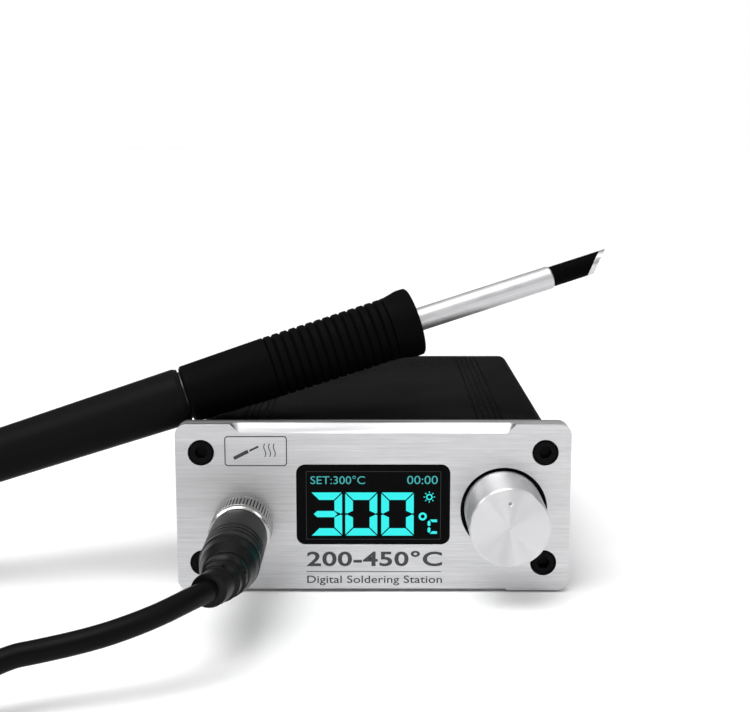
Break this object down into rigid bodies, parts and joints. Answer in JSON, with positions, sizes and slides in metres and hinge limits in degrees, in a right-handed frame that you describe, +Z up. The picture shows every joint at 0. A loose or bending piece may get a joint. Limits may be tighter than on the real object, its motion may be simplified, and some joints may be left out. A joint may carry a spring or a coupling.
{
  "type": "soldering iron station",
  "caption": "Compact desktop soldering station: black extruded case, brushed front panel with display, turned knob and round connector, with its pen iron lying across the top",
  "frame": {"origin": "on the table, under the middle of the front panel's face", "axes": "+X to the right seen from the front, +Y back through the case, +Z up"},
  "size_m": [0.2426, 0.2054, 0.0743],
  "materials": {
    "panel_aluminium": "brushed along the panel, clear anodised",
    "case_black": "black anodised extrusion, satin",
    "black_steel": "black oxide socket-head screws",
    "rubber_black": "matte moulded rubber",
    "display_black": "gloss black window with a lit display behind it",
    "plastic_black": "matte moulded plastic",
    "plug_plastic": "soft moulded plastic, satin",
    "board_green": "solder-masked circuit board",
    "steel_plain": "plain turned steel",
    "knob_aluminium": "turned and polished",
    "nickel": "nickel-plated, straight knurled",
    "contact_brass": "gold-plated contacts",
    "capacitor_blue": "sleeved can",
    "connector_white": "natural nylon",
    "wire_red": "silicone insulated wire",
    "handle_grey": "charcoal satin",
    "tip_steel": "ground stainless sleeve",
    "ceramic_white": "heater core",
    "tip_black": "black plated tip",
    "tinned": "tinned working edge",
    "cord_black": "smooth silicone lead, slight sheen"
  },
  "bodies": {
    "station": {"front_panel": "panel_aluminium", "front_screws": "black_steel", "case_shell": "case_black", "rear_panel": "case_black", "rear_screws": "black_steel", "rubber_feet": "rubber_black", "display_window": "display_black", "display_glass": "display_black", "display_bracket": "plastic_black", "front_board": "board_green", "encoder_body": "steel_plain", "encoder_nut": "steel_plain", "socket_shell": "nickel", "socket_nut": "nickel", "socket_insert": "plastic_black", "socket_pins": "contact_brass", "plug_nose": "nickel", "plug_body": "plug_plastic", "plug_strain_relief": "plug_plastic", "dc_jack": "plastic_black", "dc_jack_pin": "contact_brass", "dc_jack_nut": "nickel", "switch_housing": "plastic_black", "switch_terminals": "contact_brass", "main_board": "board_green", "filter_capacitors": "capacitor_blue", "power_inductor": "plastic_black", "power_transistors": "plastic_black", "control_chip": "plastic_black", "amplifier_chips": "plastic_black", "sounder": "plastic_black", "board_sockets": "connector_white", "socket_wires": "wire_red", "inlet_wires": "wire_red", "cord_plug_side": "cord_black", "cord_coil": "cord_black", "cord_iron_side": "cord_black"},
    "encoder_rotor": {"encoder_rotor": "plastic_black"},
    "knob": {"encoder_shaft": "steel_plain", "control_knob": "knob_aluminium", "knob_set_screw": "black_steel"},
    "coupling_ring": {"plug_coupling_ring": "nickel"},
    "power_rocker": {"switch_rocker": "plastic_black"},
    "iron": {"handle_body": "handle_grey", "handle_tail_cap": "handle_grey", "handle_strain_relief": "rubber_black", "grip_core": "plastic_black", "handle_grip": "rubber_black", "contact_carrier": "connector_white", "contact_rings": "contact_brass", "handle_board": "board_green", "sleep_switch": "contact_brass"},
    "tip_cartridge": {"cartridge_tube": "tip_steel", "cartridge_spacers": "connector_white", "contact_bands": "contact_brass", "heater_core": "ceramic_white", "heating_tip": "tip_black", "tinned_edge": "tinned"}
  },
  "joints": [
    {"name": "knob_turn", "type": "hinge", "parent": "station", "child": "encoder_rotor", "pos_m": [0.029, 0, 0.0191], "axis": [0, 1, 0], "continuous": true},
    {"name": "knob_push", "type": "slide", "parent": "encoder_rotor", "child": "knob", "axis": [0, 1, 0], "range_m": [0, 0.0005], "stiffness_N_per_m": 3000, "springref_m": -0.0008},
    {"name": "ring_turn", "type": "hinge", "parent": "station", "child": "coupling_ring", "pos_m": [-0.0288, -0.006, 0.0162], "axis": [0, -1, 0], "range_deg": [0, 900]},
    {"name": "power_switch", "type": "hinge", "parent": "station", "child": "power_rocker", "pos_m": [-0.02, 0.1079, 0.022], "axis": [0, 0, 1], "range_deg": [0, 14]},
    {"name": "iron_lift", "type": "slide", "parent": "station", "child": "iron", "axis": [0, 0, 1], "range_m": [0, 0.06]},
    {"name": "tip_pull", "type": "slide", "parent": "iron", "child": "tip_cartridge", "axis": [0.9396, 0.1997, 0.278], "range_m": [0, 0.15]}
  ]
}
